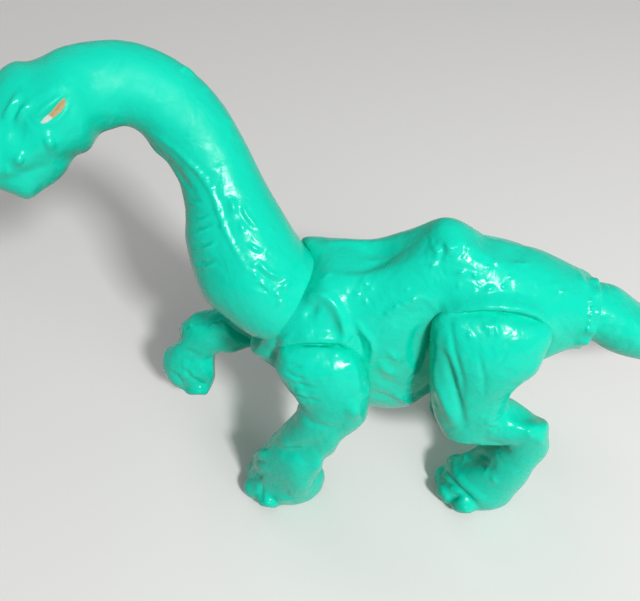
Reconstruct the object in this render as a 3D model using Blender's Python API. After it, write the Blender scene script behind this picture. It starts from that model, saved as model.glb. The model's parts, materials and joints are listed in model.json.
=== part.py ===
# Long-necked toy dinosaur: a hollow body in two halves, with a turning neck, tail and four legs.
# Metres, +Z up. The head looks to -X, the tail to +X, and the animal's left side is -Y.

import math

import bmesh
import bpy
import numpy as np
from mathutils import Matrix, Vector

MM = 0.001

# Driving sizes of the body
hip_height = 59 * MM
shoulder_height = 58 * MM
spine_height = 59 * MM
body_length = 67.5 * MM
body_depth = 54 * MM
flank_half_width = 14 * MM
rump_half_width = 11.5 * MM
wall = 2 * MM
fit_gap = 0.3 * MM
overrun = 1 * MM
body_fullness = 2.35
shoulder_share = -0.607
ridge_half_gap = 5.5 * MM
valley_depth = 3.6 * MM
valley_fade = 2
keel_lip = 1.2 * MM
keel_lip_width = 3 * MM
keel_fade = 4

# Driving sizes of the neck and head
neck_rise = 54.6 * MM
neck_radius = 12 * MM
neck_axis_lean = math.radians(50)
neck_turn = math.radians(40)
head_length = 27 * MM
head_height = 25 * MM
head_half_width = 10.8 * MM
snout_bluntness = 0.45
mouth_groove_depth = 0.8 * MM
mouth_groove_width = 1.3 * MM
brow_height = 1.1 * MM
brow_width = 2.6 * MM
eye_socket_depth = 0.6 * MM
eye_socket_width = 2.2 * MM
throat_crease_depth = 0.5 * MM
throat_crease_width = 1.1 * MM
neck_fullness = 2.1

# Driving sizes of the tail
tail_length = 78 * MM
tail_root_radius = 6.9 * MM
tail_axis_drop = math.radians(10)
tail_fullness = 2
tail_tip_share = 1
lip_rise = 0.9 * MM
lip_length = 2.2 * MM
lip_scallop_depth = 0.4 * MM
lip_scallops = 13

# Driving sizes of the legs
haunch_reach = 14.3 * MM
shoulder_reach = 10.3 * MM
haunch_width = 9.3 * MM
shoulder_width = 7.5 * MM
leg_top_share = 0.15
leg_end_share = 0.7
leg_fullness = 2.2
land_depth = 0.5 * MM
hip_land_radius = 20 * MM
shoulder_land_radius = 34 * MM
swing_clear_radius = 34 * MM
foot_length = 22 * MM
foot_width = 16 * MM
foot_height = 15.5 * MM
sole_share = 0.38
toe_radius = 3.5 * MM
toes_per_foot = 4
toe_spread = math.radians(115)
toe_long_share = 1.25
toe_tall_share = 1.3
toe_rise_share = 0.9
foot_seat_share = 0.47
raised_foot_pitch = math.radians(75)

# Driving sizes of the pegs: shaft, flange or barb, and the cross slot of a snap peg
neck_shaft_radius = 4 * MM
neck_flange_radius = 6 * MM
tail_shaft_radius = 2.8 * MM
tail_flange_radius = 4.2 * MM
leg_shaft_radius = 3 * MM
leg_barb_radius = 3.9 * MM
leg_barb_length = 4 * MM
flange_thickness = 1.8 * MM
seat_depth = 1.2 * MM
tail_seat_depth = 1.6 * MM
slot_width = 1 * MM
barb_lead = 0.8 * MM

# Driving sizes of the posts that join the halves
post_radius = 2.6 * MM
pin_radius = 1.2 * MM
pin_length = 3 * MM
post_rise = 11 * MM

# Looks
green_colour = (0.004, 0.64, 0.41, 1)
gloss_roughness = 0.2
crease_angle = math.radians(40)

# Facets
body_sides = 32
body_rings = 27
cavity_sides = 20
cavity_rings = 14
neck_sides = 32
neck_rings = 54
tail_sides = 20
tail_rings = 26
leg_sides = 20
round_sides = 28
dome_steps = 3
ball_steps = 7
lip_steps = 5
stretch_rings = 11

# Spine of the body from the collar to the tail ring. Shares of body_length from the hips for the
# place along X, of body_depth from spine_height for the height and for the reach up and down,
# of the half widths at the flank and at the rump, and how far the section leans with the collar.
body_spine_shares = (
    (-0.696, 0.083, 0.250, 0.250, 0.960, 0.00, 1.00),
    (-0.655, 0.050, 0.290, 0.320, 0.990, 0.00, 0.80),
    (-0.600, 0.020, 0.330, 0.410, 1.000, 0.00, 0.60),
    (-0.500, -0.010, 0.370, 0.500, 1.000, 0.00, 0.35),
    (-0.375, -0.018, 0.430, 0.585, 0.970, 0.00, 0.15),
    (-0.255, -0.014, 0.463, 0.570, 0.000, 1.01, 0.06),
    (-0.170, -0.005, 0.450, 0.520, 0.000, 1.00, 0.00),
    (-0.060, 0.002, 0.395, 0.440, 0.000, 1.00, 0.00),
    (0.050, 0.006, 0.325, 0.365, 0.000, 1.00, 0.00),
    (0.160, 0.011, 0.245, 0.275, 0.000, 0.93, 0.00),
    (0.250, 0.014, 0.180, 0.190, 0.000, 0.79, 0.00),
    (0.304, 0.011, 0.157, 0.157, 0.000, 0.735, 0.00),
)
# Stretches of the body that carry the valley between the shoulder ridges and the keel's lip
ridge_span_shares = (-0.70, -0.30)
keel_span_shares = (-0.46, -0.16)

# Spine of the neck in its own plane: shares of neck_rise forward and up, and of neck_radius
neck_spine_shares = (
    (0.000, 0.000, 1.00),
    (0.079, 0.072, 1.02),
    (0.135, 0.188, 1.03),
    (0.156, 0.338, 0.92),
    (0.171, 0.507, 0.76),
    (0.195, 0.666, 0.70),
    (0.242, 0.807, 0.70),
    (0.319, 0.919, 0.69),
    (0.422, 0.989, 0.69),
    (0.525, 1.000, 0.72),
)
# Head beyond the neck: shares of head_length forward, of head_height above and below the neck's
# centre line, and of head_half_width
head_shares = (
    (0.10, 0.345, 0.36, 0.86),
    (0.19, 0.340, 0.46, 0.97),
    (0.31, 0.305, 0.51, 1.00),
    (0.42, 0.285, 0.59, 0.97),
    (0.50, 0.310, 0.64, 0.93),
    (0.615, 0.270, 0.68, 0.86),
    (0.73, 0.160, 0.69, 0.78),
    (0.83, 0.060, 0.64, 0.72),
    (0.90, 0.010, 0.60, 0.68),
    (0.95, -0.030, 0.57, 0.62),
)
# Marks on the head: shares of head_length forward and of head_height above the neck's centre line
mouth_line_shares = ((0.30, -0.49), (0.44, -0.475), (0.60, -0.50), (0.75, -0.53), (0.90, -0.545))
brow_line_shares = ((0.27, -0.02), (0.36, -0.07), (0.46, -0.13))
eye_line_shares = ((0.24, -0.07), (0.34, -0.13), (0.44, -0.19))
# Shares of neck_rise: heights of the throat creases, and how far forward they fade in
throat_crease_shares = (0.24, 0.31, 0.38, 0.44, 0.51, 0.60)
throat_fade_shares = (0.15, 0.32)

# Spine of the tail: shares of tail_length along and down, and of tail_root_radius
tail_spine_shares = (
    (0.00, 0.000, 0.98),
    (0.03, 0.006, 0.99),
    (0.08, 0.024, 1.08),
    (0.14, 0.062, 1.12),
    (0.23, 0.110, 0.98),
    (0.37, 0.158, 0.76),
    (0.54, 0.180, 0.55),
    (0.72, 0.165, 0.36),
    (0.88, 0.125, 0.22),
    (1.00, 0.080, 0.13),
)

# Limbs: each leg is a few tapering stretches. Each row holds shares of the axle's height behind
# the axle and above the floor, of the leg's reach at its top for the half length, and of the leg's width
# for the distance out from the leg's inner face and for the half width.
hind_limb_shares = (
    (
        (-0.020, 1.203, 0.56, 0.00, 0.14),
        (-0.027, 1.173, 0.81, 0.00, 0.42),
        (-0.037, 1.119, 0.94, 0.01, 0.68),
        (-0.054, 1.042, 0.91, 0.03, 0.88),
        (-0.075, 0.949, 0.79, 0.10, 0.92),
        (-0.095, 0.831, 0.67, 0.26, 0.78),
        (-0.092, 0.712, 0.61, 0.40, 0.66),
        (-0.078, 0.602, 0.51, 0.46, 0.60),
    ),
    (
        (-0.050, 0.615, 0.47, 0.46, 0.58),
        (0.050, 0.615, 0.45, 0.46, 0.58),
        (0.160, 0.615, 0.41, 0.46, 0.58),
    ),
    (
        (0.160, 0.615, 0.41, 0.46, 0.58),
        (0.165, 0.46, 0.45, 0.46, 0.60),
        (0.125, 0.31, 0.54, 0.43, 0.68),
        (0.070, 0.17, 0.66, 0.38, 0.76),
        (0.027, 0.10, 0.70, 0.36, 0.78),
    ),
)
front_limb_shares = (
    (
        (0.000, 1.100, 0.55, 0.00, 0.30),
        (0.000, 1.060, 0.82, 0.02, 0.66),
        (0.000, 0.990, 0.97, 0.05, 0.92),
        (0.045, 0.900, 0.90, 0.22, 0.88),
        (0.078, 0.800, 0.80, 0.40, 0.78),
        (0.045, 0.680, 0.74, 0.48, 0.72),
        (-0.060, 0.490, 0.76, 0.44, 0.76),
        (-0.140, 0.330, 0.80, 0.30, 0.84),
        (-0.185, 0.200, 0.84, 0.14, 0.92),
        (-0.195, 0.130, 0.86, 0.10, 0.94),
    ),
)
raised_limb_shares = (
    (
        (0.000, 1.100, 0.55, 0.00, 0.30),
        (0.000, 1.060, 0.82, 0.02, 0.66),
        (0.000, 0.980, 0.97, 0.05, 0.92),
        (-0.045, 0.850, 0.84, 0.24, 0.86),
        (-0.140, 0.720, 0.72, 0.42, 0.76),
        (-0.285, 0.620, 0.64, 0.44, 0.72),
        (-0.440, 0.600, 0.61, 0.34, 0.74),
        (-0.580, 0.580, 0.64, 0.26, 0.76),
        (-0.690, 0.490, 0.68, 0.20, 0.80),
        (-0.735, 0.360, 0.72, 0.14, 0.84),
    ),
)


def tidy_scene():
    for thing in list(bpy.data.objects):
        bpy.data.objects.remove(thing, do_unlink=True)


def smooth_rows(rows, count):
    """Points along a smooth curve through the rows, evenly spread in the rows' own steps."""
    rows = np.asarray(rows, float)
    padded = np.vstack([2 * rows[0] - rows[1], rows, 2 * rows[-1] - rows[-2]])
    found = []
    for place in np.linspace(0, len(rows) - 1, count):
        first = min(int(place), len(rows) - 2)
        step = place - first
        before, start, end, after = padded[first : first + 4]
        found.append(
            start
            + step * (end - before) / 2
            + step**2 * (before - 2.5 * start + 2 * end - after / 2)
            + step**3 * (1.5 * (start - end) + (after - before) / 2)
        )
    return np.array(found)


def new_object(name, mesh):
    thing = bpy.data.objects.new(name, mesh)
    bpy.context.scene.collection.objects.link(thing)
    return thing


def lofted(name, rings):
    """A closed solid through rings of points, with a fan at each end."""
    shape = bmesh.new()
    rows = [[shape.verts.new(point) for point in ring] for ring in rings]
    count = len(rows[0])
    for first, second in zip(rows, rows[1:]):
        for i in range(count):
            j = (i + 1) % count
            shape.faces.new((first[i], first[j], second[j], second[i]))
    for ring, row in ((rings[0], rows[0]), (rings[-1], rows[-1])):
        middle = shape.verts.new(np.mean(ring, axis=0))
        for i in range(count):
            shape.faces.new((row[i], row[(i + 1) % count], middle))
    bmesh.ops.triangulate(shape, faces=shape.faces)
    bmesh.ops.recalc_face_normals(shape, faces=shape.faces)
    mesh = bpy.data.meshes.new(name)
    shape.to_mesh(mesh)
    shape.free()
    return new_object(name, mesh)


def superellipse(count, power):
    """Unit side and rise values around a section, with its top between two points."""
    angles = (np.arange(count) + 1 / 2) * 2 * math.pi / count
    side = np.sign(np.sin(angles)) * np.abs(np.sin(angles)) ** (2 / power)
    rise = np.sign(np.cos(angles)) * np.abs(np.cos(angles)) ** (2 / power)
    return side, rise


def directions(spine, start=None, end=None):
    """Unit directions along a spine. The first and last may be given."""
    steps = np.gradient(spine, axis=0)
    if start is not None:
        steps[0] = start
    if end is not None:
        steps[-1] = end
    return steps / np.linalg.norm(steps, axis=1)[:, None]


def sections(spine, along, up, down, side, count, power, turn=1, adjust=None):
    """Rings of points square to a spine. Turn is -1 where the rise is on the spine's other side."""
    across = np.array((0.0, 1.0, 0.0))
    side_unit, rise_unit = superellipse(count, power)
    rings = []
    for i, centre in enumerate(spine):
        sideways = across - along[i] * np.dot(across, along[i])
        sideways /= np.linalg.norm(sideways)
        upward = np.cross(along[i], sideways) * turn
        middle = (up[i] - down[i]) / 2
        half = (up[i] + down[i]) / 2
        lateral = side[i] * side_unit
        rise = middle + half * rise_unit
        if adjust is not None:
            lateral, rise = adjust(i, lateral, rise)
        rings.append(centre + np.outer(lateral, sideways) + np.outer(rise, upward))
    return rings


def rounded_ends(spine, along, sizes, start_share, end_share):
    """Adds dome rings to the ends of a swept form, as deep as a share of the end's own reach."""
    for depth_share, first in ((start_share, True), (end_share, False)):
        if not depth_share:
            continue
        end = 0 if first else -1
        outward = -along[end] if first else along[end]
        up, down, side = sizes[end]
        reach = (up + down) / 2 * depth_share
        turns = [math.radians(90) * (k + 1) / (dome_steps + 1) for k in range(dome_steps)]
        points = [spine[end] + outward * reach * math.sin(turn) for turn in turns]
        shifts = [(up - down) / 2 + (up + down) / 2 * math.cos(turn) for turn in turns]
        drops = [(down - up) / 2 + (up + down) / 2 * math.cos(turn) for turn in turns]
        widths = [(shift, drop, side * math.cos(turn)) for shift, drop, turn in zip(shifts, drops, turns)]
        heads = [along[end]] * dome_steps
        if first:
            spine = np.vstack([points[::-1], spine])
            sizes = np.vstack([widths[::-1], sizes])
            along = np.vstack([heads, along])
        else:
            spine = np.vstack([spine, points])
            sizes = np.vstack([sizes, widths])
            along = np.vstack([along, heads])
    return spine, along, sizes


def turned(name, profile, place, axis, sides=None):
    """A solid of revolution. The profile holds (distance along the axis, radius) pairs."""
    sides = sides or round_sides
    frame = axis_frame(place, axis)
    angles = np.linspace(0, 2 * math.pi, sides, endpoint=False)
    rings = []
    for height, radius in profile:
        ring = [frame @ Vector((radius * math.cos(t), radius * math.sin(t), height)) for t in angles]
        rings.append(np.array(ring))
    return lofted(name, rings)


def axis_frame(place, axis):
    """A matrix whose +Z runs along the axis from the place."""
    turn = Vector(axis).to_track_quat("Z", "Y").to_matrix().to_4x4()
    return Matrix.Translation(Vector(place)) @ turn


def box(name, low, high):
    corners = [
        [(x, y, z) for x, y in ((low[0], low[1]), (high[0], low[1]), (high[0], high[1]), (low[0], high[1]))]
        for z in (low[2], high[2])
    ]
    return lofted(name, np.array(corners))


def ball(name, centre, radii, turn=0.0):
    """A rounded lump with three radii, turned about Z."""
    angles = np.linspace(0, math.pi, ball_steps + 1)[1:-1]
    around = np.linspace(0, 2 * math.pi, 2 * ball_steps, endpoint=False)
    rings = []
    for polar in angles:
        x = radii[0] * math.sin(polar) * np.cos(around)
        y = radii[1] * math.sin(polar) * np.sin(around)
        z = radii[2] * math.cos(polar) + 0 * around
        points = np.column_stack([
            centre[0] + x * math.cos(turn) - y * math.sin(turn),
            centre[1] + x * math.sin(turn) + y * math.cos(turn),
            centre[2] + z,
        ])
        rings.append(points)
    lump = lofted(name, rings)
    return lump


def combine(target, tool, operation, solver):
    """Applies a Boolean to the target and removes the tool."""
    change = target.modifiers.new("shape", "BOOLEAN")
    change.operation = operation
    change.solver = solver
    change.object = tool
    graph = bpy.context.evaluated_depsgraph_get()
    mesh = bpy.data.meshes.new_from_object(target.evaluated_get(graph))
    target.modifiers.clear()
    old = target.data
    target.data = mesh
    bpy.data.meshes.remove(old)
    bpy.data.objects.remove(tool, do_unlink=True)
    return target


def cut(target, tool, solver="EXACT"):
    return combine(target, tool, "DIFFERENCE", solver)


def join(target, tool, solver="EXACT"):
    return combine(target, tool, "UNION", solver)


def half_of(thing, name, side):
    """The part of a solid on one side of the plane Y = 0."""
    low = (-2 * body_length, min(0, side * body_length), -overrun)
    high = (2 * body_length, max(0, side * body_length), 2 * spine_height)
    return combine(copy_of(thing, name), box("side", low, high), "INTERSECT", "MANIFOLD")


def copy_of(thing, name):
    twin = new_object(name, thing.data.copy())
    twin.matrix_world = thing.matrix_world
    return twin


def nearest_on_line(points, line):
    """Distance of each point to a line of straight stretches."""
    best = np.full(len(points), np.inf)
    for start, end in zip(line, line[1:]):
        run = end - start
        share = np.clip((points - start) @ run / (run @ run), 0, 1)
        best = np.minimum(best, np.linalg.norm(points - start - np.outer(share, run), axis=1))
    return best


def bell(distance, width):
    return np.exp(-((distance / width) ** 2))


def body_spine():
    x, rise, up, down, flank, rump, lean = np.array(body_spine_shares).T
    height = spine_height + rise * body_depth
    half = flank * flank_half_width + rump * rump_half_width
    reach = (up * body_depth, down * body_depth, half)
    collar = math.radians(90) - neck_axis_lean
    return np.column_stack([x * body_length, height, *reach, tail_axis_drop + lean * (collar - tail_axis_drop)])


def neck_axis():
    return Vector((-math.sin(neck_axis_lean), 0, math.cos(neck_axis_lean)))


def neck_seat():
    x, z = body_spine()[0][:2]
    return Vector((x, 0, z))


def tail_axis():
    return Vector((math.cos(tail_axis_drop), 0, -math.sin(tail_axis_drop)))


def tail_seat():
    x, z = body_spine()[-1][:2]
    return Vector((x, 0, z))


def body_form(name, inset, sides, rings):
    """The body's outer form, or with an inset the hollow inside it."""
    rows = smooth_rows(body_spine(), rings)
    spine = np.column_stack([rows[:, 0], np.zeros(rings), rows[:, 1]])
    lean = rows[:, 5]
    along = np.column_stack([np.cos(lean), np.zeros(rings), -np.sin(lean)])
    up, down, side = (rows[:, k] - inset for k in (2, 3, 4))
    ridge_low, ridge_high = (share * body_length for share in ridge_span_shares)
    keel_low, keel_high = (share * body_length for share in keel_span_shares)

    def adjust(i, lateral, rise):
        x = spine[i][0]
        blend = max(0, math.sin(math.pi * min(max((x - ridge_low) / (ridge_high - ridge_low), 0), 1)))
        high = np.clip(rise / up[i], 0, 1) ** valley_fade
        rise = rise - valley_depth * blend * bell(lateral, ridge_half_gap / 2) * high
        if not inset:
            near = max(0, math.sin(math.pi * min(max((x - keel_low) / (keel_high - keel_low), 0), 1)))
            low = np.clip(-rise / down[i], 0, 1) ** keel_fade
            rise = rise - keel_lip * near * bell(lateral, keel_lip_width) * low
        return lateral, rise

    rings = sections(spine, along, up, down, side, sides, body_fullness, 1, adjust)
    return lofted(name, rings)


def shoulder_axle():
    return shoulder_share * body_length, shoulder_height


def leg_places():
    """Name, axle, side, land, sizes, stretches and foot pitch of each leg."""
    shoulder = shoulder_axle()
    hip = (0, hip_height)
    fore_land = (flank_half_width - land_depth, shoulder_land_radius)
    hind_land = (rump_half_width - land_depth, hip_land_radius)
    fore = (shoulder_reach, shoulder_width)
    hind = (haunch_reach, haunch_width)
    return (
        ("front_left_leg", shoulder, -1, fore_land, fore, front_limb_shares, 0),
        ("front_right_leg", shoulder, 1, fore_land, fore, raised_limb_shares, raised_foot_pitch),
        ("hind_left_leg", hip, -1, hind_land, hind, hind_limb_shares, 0),
        ("hind_right_leg", hip, 1, hind_land, hind, hind_limb_shares, 0),
    )


def body_hollow():
    """The space inside the shell, clear of the seats, the flanks and the posts."""
    hollow = body_form("hollow", wall, cavity_sides, cavity_rings)
    reach = neck_radius + wall + overrun
    cup = turned("cup", ((-seat_depth - wall, reach), (reach, reach)), neck_seat(), neck_axis())
    cut(hollow, cup, "MANIFOLD")
    reach = tail_root_radius + lip_rise + wall + overrun
    cup = turned("cup", ((-tail_seat_depth - wall, reach), (reach, reach)), tail_seat(), tail_axis())
    cut(hollow, cup, "MANIFOLD")
    for name, (x, z), side, (plane, radius), *rest in leg_places():
        reach = 2 * (leg_barb_radius + wall)
        flank = ((plane - wall, reach), (body_length, reach))
        cut(hollow, turned("flank", flank, (x, 0, z), (0, side, 0)), "MANIFOLD")
    for x, z in post_places():
        ends = ((-body_length, post_radius), (body_length, post_radius))
        cut(hollow, turned("post", ends, (x, 0, z), (0, 1, 0)), "MANIFOLD")
    return hollow


def cut_seats(half, side):
    """Presses the neck and tail seats, their bores and the legs' lands and bores into one half."""
    radius = neck_radius + fit_gap
    tools = [turned("seat", ((-seat_depth, radius), (neck_rise, radius)), neck_seat(), neck_axis())]
    radius = neck_shaft_radius + fit_gap
    tools.append(turned("bore", ((-neck_radius, radius), (0, radius)), neck_seat(), neck_axis()))
    radius = tail_root_radius + fit_gap
    seat = ((-tail_seat_depth, radius), (tail_length, radius))
    tools.append(turned("seat", seat, tail_seat(), tail_axis()))
    radius = tail_shaft_radius + fit_gap
    tools.append(turned("bore", ((-tail_root_radius, radius), (0, radius)), tail_seat(), tail_axis()))
    for name, (x, z), leg_side, (plane, reach), *rest in leg_places():
        if leg_side != side:
            continue
        place = (x, side * plane, z)
        tools.append(turned("land", ((0, reach), (reach, reach)), place, (0, side, 0)))
        radius = leg_shaft_radius + fit_gap
        bore = ((-wall - overrun, radius), (overrun, radius))
        tools.append(turned("bore", bore, place, (0, side, 0)))
    for tool in tools:
        cut(half, tool, "MANIFOLD")


def scalloped_lip():
    """The rim around the tail's seat, whose edge waves in and out."""
    count = lip_scallops * lip_steps
    angles = np.linspace(0, 2 * math.pi, count, endpoint=False)
    wave = lip_scallop_depth * np.cos(lip_scallops * angles)
    frame = axis_frame(tail_seat(), tail_axis())
    root = tail_root_radius + fit_gap + wall / 2
    rings = []
    for back, radius, share in (
        (-lip_length - lip_rise, root, 0),
        (-lip_length, root + lip_rise, 1),
        (0, root + lip_rise, 1),
        (lip_rise / 2, root + lip_rise / 2, 1 / 2),
    ):
        reach = radius + share * wave
        rings.append([frame @ Vector((r * math.cos(t), r * math.sin(t), back)) for r, t in zip(reach, angles)])
    return lofted("lip", np.array(rings))


def body_halves():
    outer = join(body_form("outer", 0, body_sides, body_rings), scalloped_lip(), "MANIFOLD")
    hollow = body_hollow()
    halves = []
    for name, side in (("body_left", -1), ("body_right", 1)):
        half = half_of(outer, name, side)
        cut(half, copy_of(hollow, "space"), "MANIFOLD")
        cut_seats(half, side)
        halves.append(half)
    left, right = halves
    for x, z in post_places():
        pin = ((-wall, pin_radius), (pin_length, pin_radius))
        join(left, turned("pin", pin, (x, 0, z), (0, 1, 0)), "MANIFOLD")
        radius = pin_radius + fit_gap
        hole = ((-overrun, radius), (pin_length + fit_gap, radius))
        cut(right, turned("hole", hole, (x, 0, z), (0, 1, 0)), "MANIFOLD")
    for thing in (outer, hollow):
        bpy.data.objects.remove(thing, do_unlink=True)
    return halves


def post_places():
    middle = shoulder_axle()[0] / 2
    return ((middle, spine_height + post_rise), (middle, spine_height - post_rise))


def neck_plane(forward, up):
    """A point of the neck's plane as (x, z) in the neck's own frame: +Z along the swivel axis."""
    half = math.sqrt(0.5)
    return (up - forward) * half, (up + forward) * half


def neck_and_head():
    """Neck and head in the neck's own frame, whose origin is the seat and +Z the swivel axis."""
    neck = np.array(neck_spine_shares)
    head = np.array(head_shares)
    start = neck[-1][0] * neck_rise
    rows = [(f * neck_rise, u * neck_rise, *[r * neck_radius] * 3) for f, u, r in neck]
    rows += [
        (start + f * head_length, neck_rise, t * head_height, b * head_height, w * head_half_width)
        for f, t, b, w in head
    ]
    rows = smooth_rows(rows, neck_rings)
    forward, up = rows[:, 0], rows[:, 1]
    x, z = neck_plane(forward, up)
    spine = np.column_stack([x, np.zeros(len(x)), z])
    along = directions(spine, np.array((0.0, 0.0, 1.0)))
    spine = np.vstack([(0, 0, fit_gap - seat_depth), spine])
    along = np.vstack([along[0], along])
    sizes = np.vstack([rows[0, 2:], rows[:, 2:]])
    spine, along, sizes = rounded_ends(spine, along, sizes, 0, snout_bluntness)
    rings = sections(spine, along, *sizes.T, neck_sides, neck_fullness, -1)
    piece = lofted("neck_head", rings)
    mark_head(piece, start)
    peg = flanged_peg(neck_shaft_radius, neck_flange_radius, seat_depth, (0, 0, 0), (0, 0, 1))
    return join(piece, peg)


def mark_head(piece, head_start):
    """Presses the mouth, brows, eye hollows and throat creases into the surface."""
    mesh = piece.data
    count = len(mesh.vertices)
    points = np.empty(count * 3)
    mesh.vertices.foreach_get("co", points)
    points = points.reshape(-1, 3)
    normals = np.array([vertex.normal for vertex in mesh.vertices])
    half = math.sqrt(0.5)
    forward = (points[:, 2] - points[:, 0]) * half
    up = (points[:, 2] + points[:, 0]) * half
    flat = np.column_stack([forward, up])

    def line_of(shares):
        return np.array([(head_start + f * head_length, neck_rise + u * head_height) for f, u in shares])

    beside = np.clip(np.abs(normals[:, 1]), 0, 1)
    on_head = forward > head_start
    mouth = bell(nearest_on_line(flat, line_of(mouth_line_shares)), mouth_groove_width)
    brow = bell(nearest_on_line(flat, line_of(brow_line_shares)), brow_width)
    eye = bell(nearest_on_line(flat, line_of(eye_line_shares)), eye_socket_width)
    push = -mouth_groove_depth * mouth * on_head
    push += brow_height * brow * beside * on_head
    push -= eye_socket_depth * eye * beside * on_head
    fade_low, fade_high = (share * neck_rise for share in throat_fade_shares)
    front = np.clip((forward - fade_low) / (fade_high - fade_low), 0, 1) * (forward < head_start)
    for share in throat_crease_shares:
        push -= throat_crease_depth * bell(up - share * neck_rise, throat_crease_width) * front
    points += normals * push[:, None]
    mesh.vertices.foreach_set("co", points.reshape(-1))
    mesh.update()


def flanged_peg(shaft, flange, seat, place, axis):
    """A peg from a swivel piece back through its seat, with a flange behind the wall."""
    back = seat + wall + fit_gap
    profile = ((overrun - seat, shaft), (-back, shaft), (-back, flange), (-back - flange_thickness, flange))
    return turned("peg", profile[::-1], place, axis)


def snap_peg(place, side):
    """A slotted peg with a barb, from a leg's inner face through the flank."""
    back = wall + 2 * fit_gap
    profile = (
        (-back - leg_barb_length, leg_shaft_radius - barb_lead),
        (-back - leg_barb_length / 2, leg_barb_radius),
        (-back, leg_barb_radius),
        (-back, leg_shaft_radius),
        (overrun, leg_shaft_radius),
    )
    peg = turned("peg", profile, place, (0, side, 0))
    x, y, z = place
    far = y - side * (back + leg_barb_length + overrun)
    near = y - side * fit_gap
    reach = 2 * leg_barb_radius
    low = (x - reach, min(near, far), z - slot_width / 2)
    high = (x + reach, max(near, far), z + slot_width / 2)
    return cut(peg, box("slot", low, high))


def tail_form():
    rows = np.array(tail_spine_shares)
    rows = smooth_rows(
        [(a * tail_length, -d * tail_length, r * tail_root_radius) for a, d, r in rows], tail_rings
    )
    seat = np.array(tail_seat())
    spine = np.column_stack([seat[0] + rows[:, 0], np.zeros(len(rows)), seat[2] + rows[:, 1]])
    along = directions(spine, np.array(tail_axis()))
    sizes = np.column_stack([rows[:, 2]] * 3)
    start = seat - np.array(tail_axis()) * (tail_seat_depth - fit_gap)
    spine = np.vstack([start, spine])
    along = np.vstack([along[0], along])
    sizes = np.vstack([sizes[0], sizes])
    spine, along, sizes = rounded_ends(spine, along, sizes, 0, tail_tip_share)
    tail = lofted("tail", sections(spine, along, *sizes.T, tail_sides, tail_fullness))
    peg = flanged_peg(tail_shaft_radius, tail_flange_radius, tail_seat_depth, tail_seat(), tail_axis())
    return join(tail, peg)


def foot(name, place, pitch):
    """A paw with toes at its front. The place is the middle of its flat sole, before it is pitched."""
    rise = foot_height * sole_share
    pad = ball(name, (0, 0, rise), (foot_length / 2, foot_width / 2, foot_height - rise))
    for k in range(toes_per_foot):
        swing = (k / (toes_per_foot - 1) - 1 / 2) * toe_spread
        toe_place = (
            -(foot_length / 2 - toe_radius / 2) * math.cos(swing),
            (foot_width / 2 - toe_radius / 2) * math.sin(swing),
            toe_radius * toe_rise_share,
        )
        radii = (toe_radius * toe_long_share, toe_radius, toe_radius * toe_tall_share)
        join(pad, ball("toe", toe_place, radii, -swing), "MANIFOLD")
    far = 2 * foot_length
    cut(pad, box("sole", (-far, -far, -far), (far, far, 0)), "MANIFOLD")
    pad.data.transform(Matrix.Translation(Vector(place)) @ Matrix.Rotation(-pitch, 4, "Y"))
    return pad


def leg(name, axle, side, land, reaches, stretches, pitch):
    """A leg with a flat inner face against the flank, a limb, and a paw."""
    x, height = axle
    inner = land[0] + fit_gap
    long, wide = reaches
    limb = None
    for shares in stretches:
        rows = [
            (x + b * height, side * (inner + o * wide), a * height, r * long, r * long, h * wide)
            for b, a, r, o, h in shares
        ]
        rows = smooth_rows(rows, stretch_rings)
        spine = rows[:, :3]
        along = directions(spine)
        start_share = leg_end_share if limb else leg_top_share
        spine, along, sizes = rounded_ends(spine, along, rows[:, 3:], start_share, leg_end_share)
        piece = lofted(name, sections(spine, along, *sizes.T, leg_sides, leg_fullness))
        limb = join(limb, piece, "MANIFOLD") if limb else piece
    end = rows[-1]
    drop = foot_height * foot_seat_share
    place = (end[0] + drop * math.sin(pitch), end[1], end[2] - drop * math.cos(pitch))
    if not pitch:
        place = (end[0], end[1], 0)
    join(limb, foot("paw", place, pitch), "MANIFOLD")
    face = (x, side * inner, height)
    reach = swing_clear_radius
    cut(limb, turned("clear", ((-inner, reach), (0, reach)), face, (0, side, 0)), "MANIFOLD")
    far = 2 * body_length
    cut(limb, box("floor", (-far, -far, -body_depth), (far, far, 0)), "MANIFOLD")
    return join(limb, snap_peg(face, side), "MANIFOLD")


def plastic(name, colour):
    material = bpy.data.materials.new(name)
    material.use_nodes = True
    shader = material.node_tree.nodes["Principled BSDF"]
    shader.inputs["Base Color"].default_value = colour
    shader.inputs["Roughness"].default_value = gloss_roughness
    shader.inputs["Metallic"].default_value = 0
    return material


def set_origin(thing, frame):
    """Moves an object's origin to the frame and leaves its shape where it is."""
    thing.data.transform(frame.inverted() @ thing.matrix_world)
    thing.matrix_world = frame


def shade(thing):
    mesh = thing.data
    mesh.polygons.foreach_set("use_smooth", [True] * len(mesh.polygons))
    mesh.set_sharp_from_angle(angle=crease_angle)


def main():
    tidy_scene()
    body_halves()
    neck = neck_and_head()
    lean = Matrix.Rotation(-neck_axis_lean, 4, "Y")
    neck.matrix_world = Matrix.Translation(neck_seat()) @ lean @ Matrix.Rotation(neck_turn, 4, "Z")
    set_origin(tail_form(), axis_frame(tail_seat(), tail_axis()))
    for place in leg_places():
        x, height = place[1]
        set_origin(leg(*place), Matrix.Translation((x, 0, height)))
    green = plastic("green_plastic", green_colour)
    pieces = list(bpy.context.scene.collection.objects)
    bpy.context.view_layer.update()
    corners = [piece.matrix_world @ vertex.co for piece in pieces for vertex in piece.data.vertices]
    middles = [(min(axis) + max(axis)) / 2 for axis in list(zip(*corners))[:2]]
    figure = new_object("figure", None)
    figure.location = (-middles[0], -middles[1], 0)
    for piece in pieces:
        piece.data.materials.append(green)
        shade(piece)
        piece.parent = figure


main()
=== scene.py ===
import json
import math

import bmesh
import bpy
import numpy as np
from mathutils import Matrix, Vector, noise
from mathutils.bvhtree import BVHTree


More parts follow.
